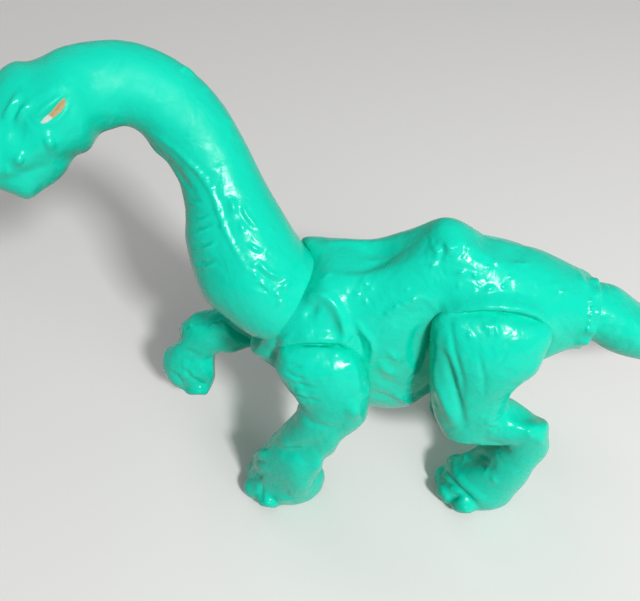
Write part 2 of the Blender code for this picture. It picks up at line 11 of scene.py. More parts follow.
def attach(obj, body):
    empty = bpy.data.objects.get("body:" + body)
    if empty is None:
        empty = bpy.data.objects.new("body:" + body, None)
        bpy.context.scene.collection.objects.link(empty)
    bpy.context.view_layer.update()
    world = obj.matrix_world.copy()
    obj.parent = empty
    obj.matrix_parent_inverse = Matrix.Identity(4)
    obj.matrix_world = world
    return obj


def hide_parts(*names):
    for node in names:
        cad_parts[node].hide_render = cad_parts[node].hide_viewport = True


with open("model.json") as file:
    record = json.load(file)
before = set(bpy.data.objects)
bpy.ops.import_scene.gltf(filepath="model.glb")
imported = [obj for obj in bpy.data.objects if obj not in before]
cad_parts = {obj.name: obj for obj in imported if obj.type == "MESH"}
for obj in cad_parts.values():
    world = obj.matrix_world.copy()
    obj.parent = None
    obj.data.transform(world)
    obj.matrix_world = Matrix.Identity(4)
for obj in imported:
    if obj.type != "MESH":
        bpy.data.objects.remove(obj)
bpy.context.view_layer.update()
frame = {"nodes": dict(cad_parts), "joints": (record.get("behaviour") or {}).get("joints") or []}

MM = 0.001

# Where the CAD joins its pieces: (place, axis) of the neck's and the tail's seat, the plane
# between left and right, and the normal of the neck's own middle plane, which is turned
JOINTS = {joint["name"]: joint for joint in frame["joints"]}
NECK_SEAT, TAIL_SEAT = (
    (np.array(JOINTS[name]["pos_m"]), np.array(JOINTS[name]["axis"]))
    for name in ("neck_swivel", "tail_swivel")
)
MIDDLE = JOINTS["neck_swivel"]["pos_m"][1]
NECK_LEAN, NECK_TURN = math.radians(50), math.radians(40)
NECK_ACROSS = np.array(
    Matrix.Rotation(-NECK_LEAN, 3, "Y") @ Matrix.Rotation(NECK_TURN, 3, "Z") @ Vector((0, 1, 0))
)

# Fine meshes: voxel, rounds of smoothing, the most that a round moves a point, and the angle
# from which an edge stays sharp
VOXEL = 0.4 * MM
SEAT_ROUNDS, TRUNK_ROUNDS, LEG_ROUNDS, PAW_ROUNDS = 3, 14, 8, 16
SOFTEST = 0.5
SHARP = math.radians(55)

# How far from a seat smoothing and nudges, and strokes, come back to their full strength
SEAT_REACH, STROKE_REACH = 1.6 * MM, 3 * MM

# Bedding: how deep a seat's face runs into the piece below it, which points go along (on the
# neck those outside a radius), and how far the legs' faces lie from the middle plane
BED_DEPTH, BED_BAND, BED_SLACK = 0.6 * MM, 1.2 * MM, 0.2 * MM
NECK_BORE = 7 * MM
LEG_SEATS = {"front": 13.8 * MM, "hind": 11.3 * MM}

# The collar's skin over the neck: its inner radius, how far down it starts, how far it
# reaches over the neck and lies above it, how its smoothing starts and ends, how its edge
# sinks into the neck, how far out the skin faces, and how far away it finds the neck
SLEEVE_INNER, SLEEVE_SPREAD, SLEEVE_REACH, SLEEVE_SKIN = 9 * MM, 9 * MM, 3.4 * MM, 0.15 * MM
SLEEVE_ROUNDS = 24
SLEEVE_FADE_IN, SLEEVE_FADE_OUT = 3 * MM, 1.5 * MM
SINK_DEPTH, SINK_START, SINK_BAND = 0.6 * MM, 1 * MM, 2 * MM
OUTWARD_START, OUTWARD_BAND = 0.1, 0.5
LAY_REACH = 3 * MM

# Paws are softer below this height, except at their flat soles
PAW_TOP, PAW_BAND, SOLE = 20 * MM, 4 * MM, 0.3 * MM

# Strokes fade at their ends and where the photograph sees the surface edge-on, and a twin on
# the far side fades by its own angle to the view too
FACING_START, FACING_BAND = 0.08, 0.3
TWIN_BAND = 0.5
END_FADE = 0.02

# Crumpled skin: the least share worth working out, the depth of its two folded noises, and
# the finer one's size and shift
CRUMPLE_LEAST = 0.03
FOLD_DEPTH, FINER_DEPTH, FINER_SIZE = 3.2, 0.6, 0.45
FINER_SHIFT = Vector((3.1, 7.7, 1.9))

# The photograph's view: focal length in its pixels, turn, roll, pitch and place of the camera
PHOTO_WIDE, PHOTO_HIGH = 640, 601
FOCAL = 680
VIEW_TURN, VIEW_ROLL, VIEW_PITCH = (math.radians(a) for a in (-7, -5, 46))
VIEW_PLACE = np.array((-22.4345, -111.001, 178.0)) * MM
SENSOR_WIDE = 36


def view_axes():
    """The camera's right, up and back, in the object's frame, turned there by VIEW_TURN."""
    forward = np.array((0, math.cos(VIEW_PITCH), -math.sin(VIEW_PITCH)))
    right = np.array((1.0, 0, 0))
    down = np.cross(forward, right)
    across = math.cos(VIEW_ROLL) * right - math.sin(VIEW_ROLL) * down
    drop = math.sin(VIEW_ROLL) * right + math.cos(VIEW_ROLL) * down
    long = np.array((math.cos(VIEW_TURN), math.sin(VIEW_TURN), 0))
    wide = np.array((-math.sin(VIEW_TURN), math.cos(VIEW_TURN), 0))
    return [np.array((v @ long, v @ wide, v[2])) for v in (across, -drop, -forward)]


VIEW = view_axes()


def placed(name, data):
    """A new object in the scene."""
    thing = bpy.data.objects.new(name, data)
    bpy.context.scene.collection.objects.link(thing)
    return thing


def make_camera():
    """The camera that took the photograph."""
    data = bpy.data.cameras.new("camera")
    data.sensor_width = SENSOR_WIDE
    data.lens = FOCAL / PHOTO_WIDE * SENSOR_WIDE
    data.clip_start = MM
    camera = placed("camera", data)
    pose = Matrix.Identity(4)
    for column, axis in enumerate((*VIEW, VIEW_PLACE)):
        for row in range(3):
            pose[row][column] = axis[row]
    camera.matrix_world = pose
    bpy.context.scene.camera = camera


def pixels(points):
    """Where the photograph shows each point."""
    away = points - VIEW_PLACE
    depth = -(away @ VIEW[2])
    across = PHOTO_WIDE / 2 + FOCAL * (away @ VIEW[0]) / depth
    down = PHOTO_HIGH / 2 - FOCAL * (away @ VIEW[1]) / depth
    return np.column_stack([across, down])


def sight_line(u, v):
    """The direction from the camera through a pixel of the photograph."""
    across, down = (u - PHOTO_WIDE / 2) / FOCAL, (v - PHOTO_HIGH / 2) / FOCAL
    return Vector(VIEW[0] * across - VIEW[1] * down - VIEW[2]).normalized()


def facing(points, normals):
    """1 where the surface looks at the photograph's camera, falling to 0 at its outline."""
    toward = VIEW_PLACE - points
    toward /= np.linalg.norm(toward, axis=1)[:, None]
    return np.clip(((normals * toward).sum(axis=1) - FACING_START) / FACING_BAND, 0, 1)


# Mirrors: a point's twin on the side that the photograph shows

def over_middle(points, normals):
    """The left side's twin of each point of a form that is the same left and right."""
    flip = points[:, 1] > MIDDLE
    points, normals = points.copy(), normals.copy()
    points[flip, 1] = 2 * MIDDLE - points[flip, 1]
    normals[flip, 1] *= -1
    return points, normals


def over_neck(points, normals):
    """The same for the neck and head, over their own middle plane."""
    off = (points - NECK_SEAT[0]) @ NECK_ACROSS
    flip = off > 0
    points, normals = points.copy(), normals.copy()
    points[flip] -= 2 * off[flip, None] * NECK_ACROSS
    normals[flip] -= 2 * (normals[flip] @ NECK_ACROSS)[:, None] * NECK_ACROSS
    return points, normals


def as_is(points, normals):
    """No mirror: only what the photograph shows itself."""
    return points, normals


def seen_pixels(points, mirror):
    """Where the photograph shows each point or its twin."""
    return pixels(mirror(points, np.zeros_like(points))[0])


# Meshes

def read(mesh, key="co"):
    """The places or the normals of a mesh's points, one row each."""
    found = np.empty(len(mesh.vertices) * 3)
    mesh.vertices.foreach_get(key, found)
    return found.reshape(-1, 3)


def write(mesh, points):
    """Puts a mesh's points in new places."""
    mesh.vertices.foreach_set("co", points.reshape(-1))
    mesh.update()


def from_bmesh(name, shape):
    """A mesh of a shape that is then no longer needed."""
    mesh = bpy.data.meshes.new(name)
    shape.to_mesh(mesh)
    shape.free()
    return mesh


def surface(piece):
    """A piece's surface, for finding places on it."""
    mesh = piece.data
    faces = [face.vertices[:] for face in mesh.polygons]
    return BVHTree.FromPolygons([point.co[:] for point in mesh.vertices], faces)


def smoothed(mesh, points, rounds, soft):
    """Relaxes points toward their neighbours, each as far as its share of softness."""
    edges = np.empty(2 * len(mesh.edges), np.int32)
    mesh.edges.foreach_get("vertices", edges)
    first, last = edges.reshape(-1, 2).T
    many = len(points)
    count = np.bincount(first, minlength=many) + np.bincount(last, minlength=many)
    for _ in range(rounds):
        total = np.column_stack([
            np.bincount(first, points[last, k], many) + np.bincount(last, points[first, k], many)
            for k in range(3)
        ])
        points = points + soft[:, None] * (total / count[:, None] - points)
    return points


def eased(piece, rounds, chosen):
    """Melts the chosen places of a piece into softer forms."""
    points = read(piece.data)
    write(piece.data, smoothed(piece.data, points, rounds, SOFTEST * chosen(points)))


def melted(piece, spots, mirror):
    """Melts spots seen in the photograph. Each is (rounds, reach in pixels, middle)."""
    for rounds, reach, middle in spots:
        eased(piece, rounds, lambda points: around(seen_pixels(points, mirror), middle, reach))


def around(uv, middle, reach):
    """1 at a place in the photograph, fading over its reach."""
    return np.exp(-((np.linalg.norm(uv - np.array(middle), axis=1) / reach) ** 2))


def eased_step(share):
    """A share held between 0 and 1, with a soft start and end."""
    share = np.clip(share, 0, 1)
    return share**2 * (3 - 2 * share)


def seat_share(points, seats, reach=SEAT_REACH):
    """0 on a seat, where two pieces meet, rising to 1 away from it."""
    near = np.full(len(points), np.inf)
    for place, axis in seats:
        near = np.minimum(near, abs((points - place) @ axis))
    return np.clip(near / reach, 0, 1)


def near_floor(points):
    """1 over a paw, 0 from its ankle up and at its flat sole."""
    height = points[:, 2]
    return np.clip((PAW_TOP - height) / PAW_BAND, 0, 1) * (height > SOLE)


def round_axis(points, place, axis):
    """Each point's height along an axis, its distance from the axis, and its arm from it."""
    off = points - place
    height = off @ axis
    arm = off - height[:, None] * axis
    return height, np.linalg.norm(arm, axis=1), arm


def near_collar(points, place, axis):
    """1 on a collar's skin, 0 at its rim and away from it."""
    height, ring = round_axis(points, place, axis)[:2]
    inside = eased_step((height + SLEEVE_SPREAD) / SLEEVE_FADE_IN)
    inside *= eased_step((SLEEVE_REACH - height) / SLEEVE_FADE_OUT)
    return inside * (ring > SLEEVE_INNER)


def refined(name, nodes, rounds, seats=()):
    """A fine, smooth copy of the CAD nodes, still crisp at its seats."""
    joined = bmesh.new()
    for node_name in nodes:
        joined.from_mesh(frame["nodes"][node_name].data)
    piece = placed(name, from_bmesh(name, joined))
    remesh = piece.modifiers.new("fine", "REMESH")
    remesh.mode = "VOXEL"
    remesh.voxel_size = VOXEL
    remesh.use_smooth_shade = True
    graph = bpy.context.evaluated_depsgraph_get()
    fine = bpy.data.meshes.new_from_object(piece.evaluated_get(graph))
    piece.modifiers.clear()
    points = read(fine)
    points = smoothed(fine, points, SEAT_ROUNDS, np.full(len(points), SOFTEST))
    write(fine, smoothed(fine, points, rounds, SOFTEST * seat_share(points, seats)))
    piece.data = fine
    piece.data.materials.clear()
    return piece


def bedded(piece, place, axis, bore=0):
    """Runs a seat's face a little way into the piece below it, so that no dark gap shows."""
    points = read(piece.data)
    height, ring = round_axis(points, place, axis)[:2]
    moved = (ring > bore) & (height > -BED_SLACK) & (height < BED_BAND)
    share = 1 - np.clip(height[moved] / BED_BAND, 0, 1)
    points[moved] -= (share * BED_DEPTH)[:, None] * axis
    write(piece.data, points)


def sleeved(piece, under, place, axis):
    """Draws a collar's rim over the piece that turns in it, as a thin skin that ends in it."""
    mesh = piece.data
    points = read(mesh)
    height, ring, arm = round_axis(points, place, axis)
    outward = (read(mesh, "normal") * arm).sum(axis=1) / np.maximum(ring, MM)
    near_rim = (height > -SLEEVE_SPREAD) & (height < SEAT_REACH)
    chosen = np.flatnonzero((ring > SLEEVE_INNER) & (outward > OUTWARD_START) & near_rim)
    skin = eased_step((outward[chosen] - OUTWARD_START) / OUTWARD_BAND)
    share = skin * eased_step(1 + height[chosen] / SLEEVE_SPREAD)
    points[chosen] += (share * SLEEVE_REACH)[:, None] * axis
    flush = skin * eased_step(1 + height[chosen] / SLEEVE_REACH)
    cover = surface(under)
    for index, part in zip(chosen, flush):
        near, normal = cover.find_nearest(Vector(points[index]), LAY_REACH)[:2]
        if near and part:
            points[index] += part * (np.array(near + normal * SLEEVE_SKIN) - points[index])
    write(mesh, points)
    eased(piece, SLEEVE_ROUNDS, lambda points: near_collar(points, place, axis))
    points = read(mesh)
    height, ring, arm = round_axis(points, place, axis)
    rim = (ring > SLEEVE_INNER) & (height < SLEEVE_SPREAD)
    sink = SINK_DEPTH * rim * eased_step((height - SINK_START) / SINK_BAND)
    points -= (sink / np.maximum(ring, MM))[:, None] * arm
    write(mesh, points)


# Sculpting

def nudged(piece, nudges, mirror=as_is, seats=()):
    """Moves a form's outline, in its length and height, to where the photograph shows it.

    Each nudge is (middle, reach, move across and down), in the photograph's pixels.
    """
    points = read(piece.data)
    seen = mirror(points, np.zeros_like(points))[0]
    uv = pixels(seen)
    scale = -((seen - VIEW_PLACE) @ VIEW[2]) / FOCAL
    flat = np.linalg.inv(np.array(((VIEW[0][0], VIEW[0][2]), (VIEW[1][0], VIEW[1][2]))))
    free = seat_share(points, seats)
    for middle, reach, (across, down) in nudges:
        share = around(uv, middle, reach) * scale * free
        along, up = flat @ np.array((across, -down))
        points[:, 0] += along * share
        points[:, 2] += up * share
    write(piece.data, points)


def along_line(uv, line):
    """Each point's distance from a stroke, and how far along it the nearest place is."""
    line = np.array(line, float)
    lengths = np.linalg.norm(np.diff(line, axis=0), axis=1)
    near = np.full(len(uv), np.inf)
    place = np.zeros(len(uv))
    start = 0
    for first, last, length in zip(line, line[1:], lengths):
        run = last - first
        share = np.clip((uv - first) @ run / (run @ run), 0, 1)
        away = np.linalg.norm(uv - first - share[:, None] * run, axis=1)
        closer = away < near
        near[closer] = away[closer]
        place[closer] = start + share[closer] * length
        start += length
    return near, place / start


def pressed(uv, strokes):
    """Sum of the strokes, in metres.

    Each is (height in mm, width in pixels, pixels along it), and False where its ends don't fade.
    """
    push = np.zeros(len(uv))
    for height, width, line, *fades in strokes:
        if len(line) == 1:
            push += height * around(uv, line[0], width)
            continue
        away, place = along_line(uv, line)
        fade = 1
        if all(fades):
            fade = np.sin(math.pi * np.clip(place, END_FADE, 1 - END_FADE)) ** 0.5
        push += height * fade * np.exp(-((away / width) ** 2))
    return push * MM


def ridged(point, size):
    """Crumpled height, 1 at sharp crests and lower between them, from folded noise."""
    value = noise.noise(point / size)
    finer = noise.noise(point / (size * FINER_SIZE) + FINER_SHIFT)
    return 1 - FOLD_DEPTH * abs(value) - FINER_DEPTH * abs(finer)


def crumpled(seen, uv, weight, patches):
    """Height of crumpled skin, in metres.

    Each patch is (height and size in mm, middle and reach in pixels).
    """
    push = np.zeros(len(uv))
    for height, size, middle, reach in patches:
        away = np.linalg.norm((uv - np.array(middle)) / np.array(reach), axis=1)
        where = np.exp(-(away**2)) * weight
        chosen = where > CRUMPLE_LEAST
        rough = np.zeros(len(uv))
        rough[chosen] = [ridged(Vector(point), size * MM) for point in seen[chosen]]
        push += height * MM * where * rough
    return push


def sculpt(piece, strokes, mirror=as_is, crumple=(), seats=()):
    """Moves the surface along its normals by strokes seen in the photograph."""
    mesh = piece.data
    points, normals = read(mesh), read(mesh, "normal")
    seen, seen_normals = mirror(points, normals)
    uv = pixels(seen)
    weight = facing(seen, seen_normals)
    push = pressed(uv, strokes) * weight + crumpled(seen, uv, weight, crumple)
    push *= seat_share(points, seats, STROKE_REACH)
    sight = VIEW_PLACE - points
    edge_on = abs((sight * normals).sum(axis=1)) / np.linalg.norm(sight, axis=1)
    twin = abs(seen - points).max(axis=1) > MM
    push[twin] *= np.clip(edge_on[twin] / TWIN_BAND, 0, 1) ** 2
    write(mesh, points + normals * push[:, None])


# Materials

GREEN, DEEP_GREEN = (0.003, 0.64, 0.45, 1), (0.002, 0.59, 0.405, 1)
TAN, DEEP_TAN = (0.50, 0.36, 0.19, 1), (0.42, 0.29, 0.14, 1)
# PALE is a painted highlight: the glint of gloss on the eye's lower corner, painted as a pale
# colour
PALE, DEEP_PALE = (0.62, 0.64, 0.60, 1), (0.52, 0.55, 0.50, 1)

# The drift's ramp from the deep to the full colour, and how rough smooth and scuffed places
# are, as shares of a plastic's own roughness
RAMP_ENDS = 0.3, 0.72
ROUGH_ENDS = 0.8, 1.7

# The top of the neck is rubbed duller than the rest
DULL_PLACE = (-57 * MM, -8 * MM, 123 * MM)
DULL_INNER, DULL_OUTER, DULL_ROUGHNESS = 17 * MM, 30 * MM, 0.5


def node(tree, kind, **inputs):
    """A shader node with its inputs set."""
    made = tree.nodes.new(kind)
    for key, value in inputs.items():
        made.inputs[key.replace("_", " ")].default_value = value
    return made


def plastic(name, colour, deep, roughness, wrinkle=0.0):
    """Glossy moulded plastic: faint colour drift, orange-peel skin, small scuffs and folds."""
    material = bpy.data.materials.new(name)
    material.use_nodes = True
    tree = material.node_tree
    link = tree.links.new
    shader = tree.nodes["Principled BSDF"]
    place = tree.nodes.new("ShaderNodeTexCoord").outputs["Object"]
    drift = node(tree, "ShaderNodeTexNoise", Scale=45, Detail=4)
    speck = node(tree, "ShaderNodeTexNoise", Scale=420, Detail=5, Roughness=0.6)
    peel = node(tree, "ShaderNodeTexNoise", Scale=900, Detail=2)
    fold = node(
        tree, "ShaderNodeTexNoise", Scale=190, Detail=2, Roughness=0.45, Distortion=0.7
    )
    for texture in (drift, speck, peel, fold):
        link(place, texture.inputs["Vector"])

    ramp = tree.nodes.new("ShaderNodeValToRGB")
    for stop, position, tone in zip(ramp.color_ramp.elements, RAMP_ENDS, (deep, colour)):
        stop.position = position
        stop.color = tone
    link(drift.outputs["Fac"], ramp.inputs["Fac"])
    link(ramp.outputs["Color"], shader.inputs["Base Color"])

    smooth, scuffed = (roughness * share for share in ROUGH_ENDS)
    rough = node(
        tree, "ShaderNodeMapRange", From_Min=0.35, From_Max=0.75, To_Min=smooth, To_Max=scuffed
    )
    link(speck.outputs["Fac"], rough.inputs["Value"])
    away = tree.nodes.new("ShaderNodeVectorMath")
    away.operation = "DISTANCE"
    away.inputs[1].default_value = DULL_PLACE
    link(place, away.inputs[0])
    dull = node(
        tree, "ShaderNodeMapRange",
        From_Min=DULL_INNER, From_Max=DULL_OUTER, To_Min=DULL_ROUGHNESS, To_Max=0.0,
    )
    link(away.outputs["Value"], dull.inputs["Value"])
    both = tree.nodes.new("ShaderNodeMath")
    link(rough.outputs["Result"], both.inputs[0])
    link(dull.outputs["Result"], both.inputs[1])
    link(both.outputs["Value"], shader.inputs["Roughness"])

    normal = None
    for texture, strength, distance in (
        (peel, 0.10, 0.2 * MM), (speck, 0.16, 0.6 * MM), (fold, wrinkle, 1 * MM)
    ):
        bump = node(tree, "ShaderNodeBump", Strength=strength, Distance=distance)
        link(texture.outputs["Fac"], bump.inputs["Height"])
        if normal:
            link(normal, bump.inputs["Normal"])
        normal = bump.outputs["Normal"]
    link(normal, shader.inputs["Normal"])

    shader.inputs["IOR"].default_value = 1.5
    shader.inputs["Specular IOR Level"].default_value = 0.24
    shader.inputs["Subsurface Weight"].default_value = 0.12
    shader.inputs["Subsurface Radius"].default_value = (0.3, 1.0, 0.7)
    shader.inputs["Subsurface Scale"].default_value = 2 * MM
    return material


make_camera()
green = plastic("green_plastic_gloss", GREEN, DEEP_GREEN, roughness=0.2, wrinkle=0.45)
tan = plastic("tan_eye_paint", TAN, DEEP_TAN, roughness=0.3)
# The pale eye colour is a painted highlight that stands in for the glint on the eye's lower corner
pale = plastic("eye_painted_highlight", PALE, DEEP_PALE, roughness=0.2)


def finished(piece, nodes, body, material=green):
    """Gives a piece its material and its body, and hides the CAD nodes that it stands for."""
    mesh = piece.data
    mesh.materials.append(material)
    mesh.polygons.foreach_set("use_smooth", [True] * len(mesh.polygons))
    mesh.set_sharp_from_angle(angle=SHARP)
    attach(piece, body)
    if nodes:
        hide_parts(*nodes)


# Every table below is in the photograph's pixels, as nudged, pressed, crumpled and melted say.
# Strokes higher than 0 stand out of the surface, and the others are pressed into it

# Neck and head
NECK_STROKES = (
    # Lids, and the eye's socket between them
    (0.5, 3, ((35, 118), (42, 111), (48, 106), (55, 101), (63, 95))),
    (-0.45, 3.5, ((44, 122), (52, 116), (59, 109), (65, 101))),
    (0.25, 2.5, ((50, 126), (59, 119), (66, 110), (69, 101))),
    # Brow ridges, and the hollow below them
    (0.7, 3.0, ((4, 119), (9, 111), (13, 104), (18, 94))),
    (-0.35, 2.4, ((10, 121), (15, 113), (20, 103))),
    (0.7, 3.4, ((17, 121), (22, 113), (30, 103))),
    (-0.55, 10, ((8, 131), (26, 134))),
    # Cheek, snout and lip
    (0.9, 7, ((44, 144), (55, 140))),
    (1.0, 6, ((15, 156), (23, 162))),
    (0.3, 4, ((5, 173), (11, 173))),
    # Mouth, and the jaw's hollow
    (-0.22, 4.2, ((80, 157), (68, 160), (54, 164), (36, 169), (20, 176), (8, 184))),
    (-0.4, 9, ((66, 170), (44, 176), (24, 184))),
    # Groove and ridge down the throat's side, with bumps along the ridge
    (-0.5, 3.4, ((120, 131), (140, 140), (158, 152), (174, 168), (188, 186), (196, 196))),
    (0.4, 2.6, (
        (150, 132), (176, 150), (196, 170), (205, 181), (213, 195),
        (219, 212), (226, 232), (236, 252), (246, 268),
    )),
    (0.25, 2.0, ((193, 167), (199, 168))),
    (0.3, 1.8, ((200, 173),)),
    (0.3, 2.0, ((206, 178),)),
    (0.22, 2.4, ((210, 187), (214, 189))),
    (0.25, 2.2, ((218, 210),)),
    (0.25, 1.8, ((222, 226),)),
    # Cross folds of the throat
    (0.3, 1.5, ((190, 204), (194, 204), (200, 205))),
    (-0.35, 1.8, ((187, 199), (194, 200), (202, 201))),
    (0.4, 1.5, ((187, 221), (196, 222), (207, 219))),
    (-0.35, 1.8, ((190, 217.5), (198, 218), (208, 215))),
    (0.4, 1.7, ((190, 235), (199, 232), (209, 229))),
    (-0.4, 1.8, ((190, 229), (199, 228), (212, 224))),
    (0.5, 1.4, ((191, 249), (202, 249), (208, 247), (216, 244))),
    (-0.4, 1.8, ((192, 245), (203, 244.5), (212, 241))),
    (0.5, 1.4, ((196, 267), (205, 267.5), (215, 265))),
    (-0.4, 1.8, ((194, 262), (204, 263), (214, 260))),
    (0.25, 2.0, ((176, 186), (180, 184))),
    # Folds of the neck's side
    (0.5, 3.4, ((230, 199), (233, 206), (234, 214))),
    (0.35, 1.8, ((242, 205), (247, 216), (258, 228))),
    (-0.25, 2.0, ((238, 208), (243, 219), (253, 230))),
    (0.3, 3.0, ((241, 222), (243, 232))),
    (0.35, 1.8, ((249, 244), (254, 248), (261, 252))),
    # Folds over the neck's foot
    (0.5, 2.8, ((258, 262), (264, 268), (271, 274), (279, 276), (287, 272))),
    (-0.4, 2.4, ((256, 268), (264, 276), (274, 282), (282, 281))),
    (0.5, 3.4, ((289, 280), (285, 287), (283, 291))),
    (0.4, 2.2, ((278, 295),)),
    (0.35, 2.0, ((283, 300), (277, 306))),
    (0.25, 1.8, ((254, 265),)),
    (0.25, 1.6, ((253, 273), (258, 277))),
    (0.3, 1.7, ((260, 282), (265, 286), (271, 290))),
    (-0.25, 2.0, ((258, 285), (264, 290), (270, 294))),
    (0.25, 1.6, ((270, 228), (274, 231))),
    # Bumps along the nape
    (0.7, 3.0, ((184, 69), (189, 69), (193, 73)), False),
    (0.4, 2.6, ((205, 86), (209, 91))),
    (0.35, 2.6, ((229, 118), (233, 124))),
)
NECK_CRUMPLE = (
    (0.07, 1.6, (272, 276), (20, 16)),
    (0.03, 2.0, (240, 220), (16, 26)),
)
NECK_NUDGES = (
    ((152, 150), 14, (-3, 4)),
    ((190, 235), 22, (-5, 0)),
    ((198, 268), 24, (-6, 1)),
    ((214, 296), 16, (-3, 3)),
    ((26, 192), 11, (0, 4)),
)
neck = refined("neck_and_head", ("neck_head",), TRUNK_ROUNDS, (NECK_SEAT,))
nudged(neck, NECK_NUDGES, seats=(NECK_SEAT,))
bedded(neck, *NECK_SEAT, NECK_BORE)
sculpt(neck, NECK_STROKES, over_neck, NECK_CRUMPLE)
finished(neck, ("neck_head",), "neck")

# Body, with the tail ring
BODY_STROKES = (
    # Beads of the tail ring
    (0.5, 3, ((579, 275), (587, 289))),
    (0.45, 2.2, ((591, 301),)),
    (0.45, 2.2, ((592, 308),)),
    (0.45, 2.2, ((591, 315),)),
    (0.45, 2.2, ((590, 322),)),
    (0.4, 2.2, ((588, 329),)),
    # Collar's edge, front of the shoulder, and the arcs over the front and the hind leg
    (0.35, 1.6, ((320, 281), (325, 277), (331, 272))),
    (1.0, 7, ((292, 300), (284, 316), (276, 330))),
    (2.0, 5.5, ((276, 350), (288, 340), (304, 336), (322, 336), (340, 338), (354, 349))),
    (2.6, 6.5, (
        (438, 320), (448, 309), (462, 304), (480, 301), (497, 301),
        (514, 304), (532, 310), (545, 320), (552, 332),
    )),
    (0.9, 15, ((450, 306), (480, 298), (510, 300), (540, 312))),
    # Hollow beside the spine, and the shoulder blade
    (-0.6, 4.5, (
        (330, 268), (346, 270), (364, 269), (380, 262), (396, 252), (408, 243), (420, 233),
    )),
    (1.2, 6, ((310, 296), (316, 294), (326, 296), (336, 306), (342, 318), (346, 334)), False),
    (-1.0, 8, ((304, 310), (318, 313))),
    (0.3, 3.0, ((341, 318), (344, 330))),
    # Small bumps behind the shoulder
    (0.45, 2.6, ((360, 284), (364, 279), (367, 285))),
    (0.3, 2.0, ((369, 289), (373, 288))),
    (0.3, 2.2, ((357, 292), (357, 296))),
    (0.3, 1.5, ((364, 298), (366, 303), (368, 306))),
    (0.25, 2.0, ((343, 257), (347, 257))),
    # Rib over the flank with bumps along it, and the hollows below it
    (0.28, 1.8, ((387, 313),)),
    (0.28, 1.8, ((396, 306),)),
    (0.28, 1.8, ((404, 303),)),
    (0.28, 1.8, ((413, 299),)),
    (0.25, 1.8, ((407, 290),)),
    (0.3, 3.4, ((384, 318), (396, 308), (410, 300), (424, 297), (432, 303), (439, 312))),
    (-0.35, 6, ((392, 326), (408, 314), (424, 312))),
    (-0.7, 5, ((438, 318), (431, 340), (424, 366), (412, 392))),
    # Folds from the shoulder down to the keel
    (0.75, 3.2, ((357, 322), (364, 332), (371, 340), (373, 350), (371, 360))),
    (-0.8, 3.4, ((357, 334), (360, 343), (363, 354))),
    (0.6, 2.8, ((389, 352), (394, 356), (400, 361))),
    (0.6, 3.4, ((380, 364), (386, 370), (396, 375))),
    (-0.4, 4, ((374, 372), (386, 382), (400, 386))),
    (0.8, 3.0, ((392, 394), (400, 397), (406, 401), (411, 404))),
    (-0.5, 3, ((370, 392), (386, 397), (400, 403))),
    # Chest, and its fold against the front leg
    (0.6, 5, ((264, 300), (268, 322), (270, 345))),
    (-0.8, 5, ((276, 332), (274, 352), (282, 368))),
    (0.5, 1.6, ((280, 340), (287, 336), (293, 332))),
    # Crumpled hump
    (0.8, 10, ((438, 250), (452, 246), (468, 248))),
    (0.5, 3.0, ((433, 246), (438, 252), (436, 260))),
    (0.45, 3.0, ((446, 245), (450, 250), (456, 247))),
    (0.45, 3.0, ((466, 246), (472, 251))),
    (-0.4, 2.4, ((442, 243), (444, 252), (440, 260))),
    (-0.4, 2.4, ((461, 243), (463, 252), (458, 258))),
    (0.4, 2.6, ((430, 265), (436, 266))),
    # Wrinkles of the rump
    (0.4, 2.6, ((457, 272), (466, 273))),
    (0.3, 2.2, ((473, 275), (477, 276))),
    (0.3, 2.2, ((458, 283), (460, 288))),
    (0.4, 2.6, ((484, 289), (493, 286))),
    (0.3, 2.0, ((487, 267), (491, 267))),
    (0.4, 2.4, ((493, 259), (500, 266))),
    (0.3, 2.0, ((503, 286),)),
    (0.3, 2.2, ((509, 277), (512, 277))),
    (0.4, 2.4, ((514, 262), (522, 264), (530, 263))),
    (0.35, 1.8, ((514, 294), (521, 297), (528, 301))),
    (0.35, 1.8, ((515, 300), (522, 303), (528, 307))),
    (0.35, 2.4, ((551, 284), (559, 285))),
    (0.35, 2.4, ((561, 291), (567, 293))),
    (-0.25, 8, ((480, 262), (506, 256), (540, 262))),
)
BODY_CRUMPLE = (
    (0.11, 1.6, (450, 252), (24, 12)),
    (0.05, 2.2, (505, 276), (46, 20)),
    (0.05, 2.0, (390, 366), (20, 16)),
    (0.10, 1.6, (364, 284), (9, 7)),
)
BODY_NUDGES = (
    ((262, 350), 18, (-8, 2)),
    ((395, 400), 20, (0, 8)),
    ((432, 222), 34, (0, -4)),
    ((322, 246), 20, (-3, -3)),
    ((412, 402), 12, (2, 6)),
)
BACK_NUDGES = (
    ((313, 244), 10, (-9, -5)),
    ((442, 226), 22, (0, -6)),
    ((488, 234), 18, (0, 6)),
    ((514, 247), 18, (0, 4)),
    ((594, 268), 9, (-1, 4)),
)
BODY_MELTS = ((30, 10, (254, 344)),)
SLEEVE_RIM = NECK_SEAT[0] + SLEEVE_REACH * NECK_SEAT[1], NECK_SEAT[1]
body = refined("body", ("body_left", "body_right"), TRUNK_ROUNDS, (NECK_SEAT, TAIL_SEAT))
nudged(body, BODY_NUDGES, over_middle, (NECK_SEAT, TAIL_SEAT))
sleeved(body, neck, *NECK_SEAT)
nudged(body, BACK_NUDGES)
melted(body, BODY_MELTS, over_middle)
sculpt(body, BODY_STROKES, over_middle, BODY_CRUMPLE, (SLEEVE_RIM,))
finished(body, ("body_left", "body_right"), "torso")

# Tail
TAIL_CRUMPLE = ((0.10, 3.0, (620, 310), (50, 60)),)
TAIL_NUDGES = (((645, 296), 26, (0, 8)), ((690, 312), 30, (0, 5)))
tail = refined("tail_piece", ("tail",), TRUNK_ROUNDS, (TAIL_SEAT,))
nudged(tail, TAIL_NUDGES)
sculpt(tail, (), over_middle, TAIL_CRUMPLE)
finished(tail, ("tail",), "tail")

